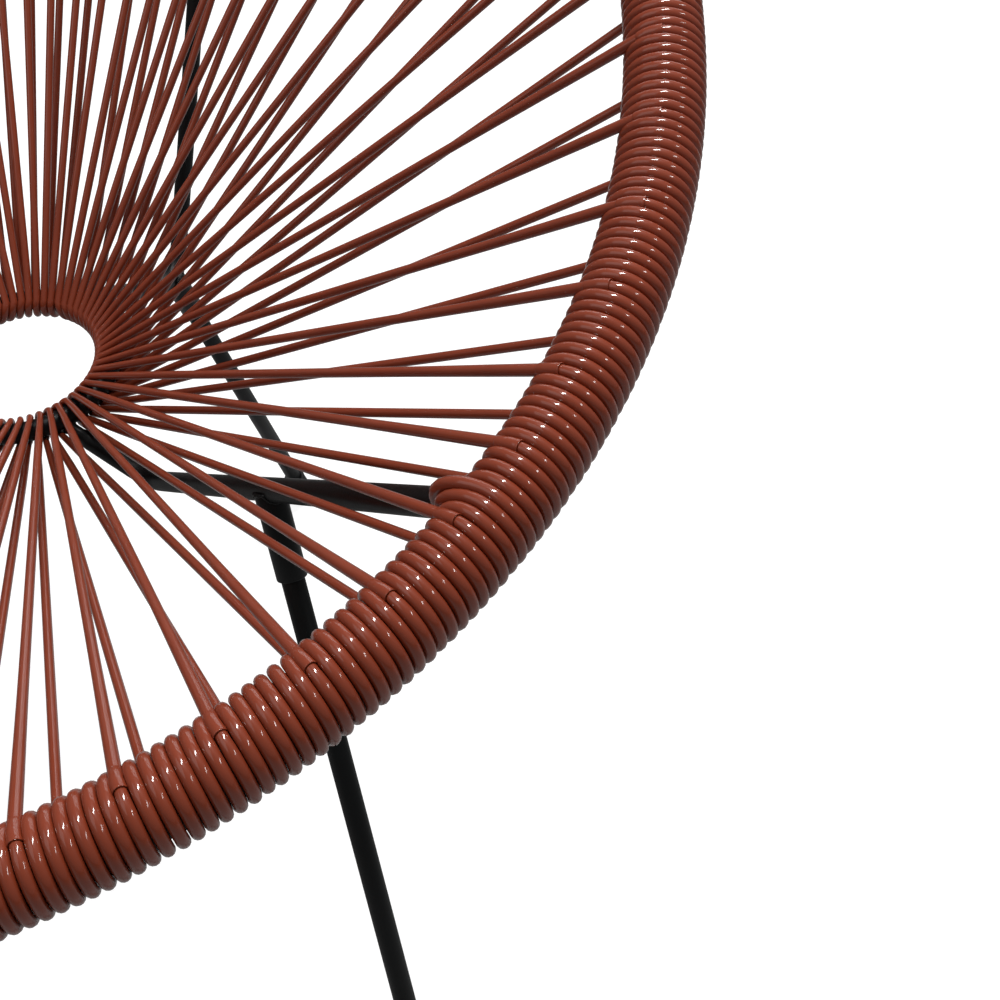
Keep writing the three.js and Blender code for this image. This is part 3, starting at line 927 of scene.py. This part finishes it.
studio = {
    "floorSize": 15,               # metres from the middle to each side
    "floorColour": "#a0a0a0",
    "floorGlow": 0.85,             # seen by the camera only, so the floor is white and has the shadow
    "skyLight": 0.18,
    "backdrop": 1.0,
    "lampAim": (0.1, 0, 0.45),
    "lampWay": (0.35, 0.94, 0),    # the long side's way, with the hoop
}


def makeFloor():
    bm = bmesh.new()
    bmesh.ops.create_grid(bm, x_segments=1, y_segments=1, size=studio["floorSize"])
    mesh = bpy.data.meshes.new("floor")
    bm.to_mesh(mesh)
    bm.free()
    floor = bpy.data.objects.new("floor", mesh)
    bpy.context.collection.objects.link(floor)
    material, tree = newMaterial("white_studio_floor")
    paint = addNode(tree, "ShaderNodeBsdfDiffuse", {"Color": linear(studio["floorColour"])})
    white = linear("#ffffff")
    glow = addNode(tree, "ShaderNodeEmission", {"Color": white, "Strength": studio["floorGlow"]})
    both = addNode(tree, "ShaderNodeAddShader", None, {0: paint.outputs[0], 1: glow.outputs[0]})
    ray = addNode(tree, "ShaderNodeLightPath")
    seen = addNode(tree, "ShaderNodeMixShader", None,
                   {0: ray.outputs["Is Camera Ray"], 1: paint.outputs[0], 2: both.outputs[0]})
    addNode(tree, "ShaderNodeOutputMaterial", None, {"Surface": seen.outputs[0]})
    mesh.materials.append(material)


def makeWorld():
    world = bpy.data.worlds.new("studio")
    world.use_nodes = True
    bpy.context.scene.world = world
    tree = world.node_tree
    tree.nodes.clear()
    white = linear("#ffffff")
    soft = addNode(tree, "ShaderNodeBackground", {"Color": white, "Strength": studio["skyLight"]})
    plain = addNode(tree, "ShaderNodeBackground", {"Color": white, "Strength": studio["backdrop"]})
    ray = addNode(tree, "ShaderNodeLightPath")
    mix = addNode(tree, "ShaderNodeMixShader", None,
                  {0: ray.outputs["Is Camera Ray"], 1: soft.outputs[0], 2: plain.outputs[0]})
    addNode(tree, "ShaderNodeOutputWorld", None, {"Surface": mix.outputs[0]})


# metres and watts
lamps = {
    "key": {"place": (0.2, 0.45, 2.8), "width": 0.16, "length": 1.2, "power": 50},
    "right": {"place": (1.75, 0.35, 2.15), "width": 0.09, "length": 0.6, "power": 4},
    "front": {"place": (1.8, -0.1, 2.2), "width": 0.09, "length": 0.6, "power": 4},
    "fill": {"place": (-1.2, -1.4, 2.4), "width": 2, "length": 2, "power": 10},
    "rear": {"place": (-0.5, 2.6, 1.5), "width": 2, "length": 2, "power": 22},
}


def makeLamps():
    # the long side of each runs with the hoop, so that its reflection on a turn is a small spot
    for name, lamp in lamps.items():
        data = bpy.data.lights.new(name, "AREA")
        data.shape = "RECTANGLE"
        data.size = lamp["width"]
        data.size_y = lamp["length"]
        data.energy = lamp["power"]
        light = bpy.data.objects.new(name, data)
        light.location = lamp["place"]
        back = (light.location - Vector(studio["lampAim"])).normalized()
        along = Vector(studio["lampWay"])
        along = (along - back * along.dot(back)).normalized()
        light.rotation_euler = Matrix((along.cross(back), along, back)).transposed().to_euler()
        bpy.context.collection.objects.link(light)


makeFloor()
makeWorld()
makeLamps()
bpy.context.scene.view_settings.view_transform = "Standard"
print("studio lit")
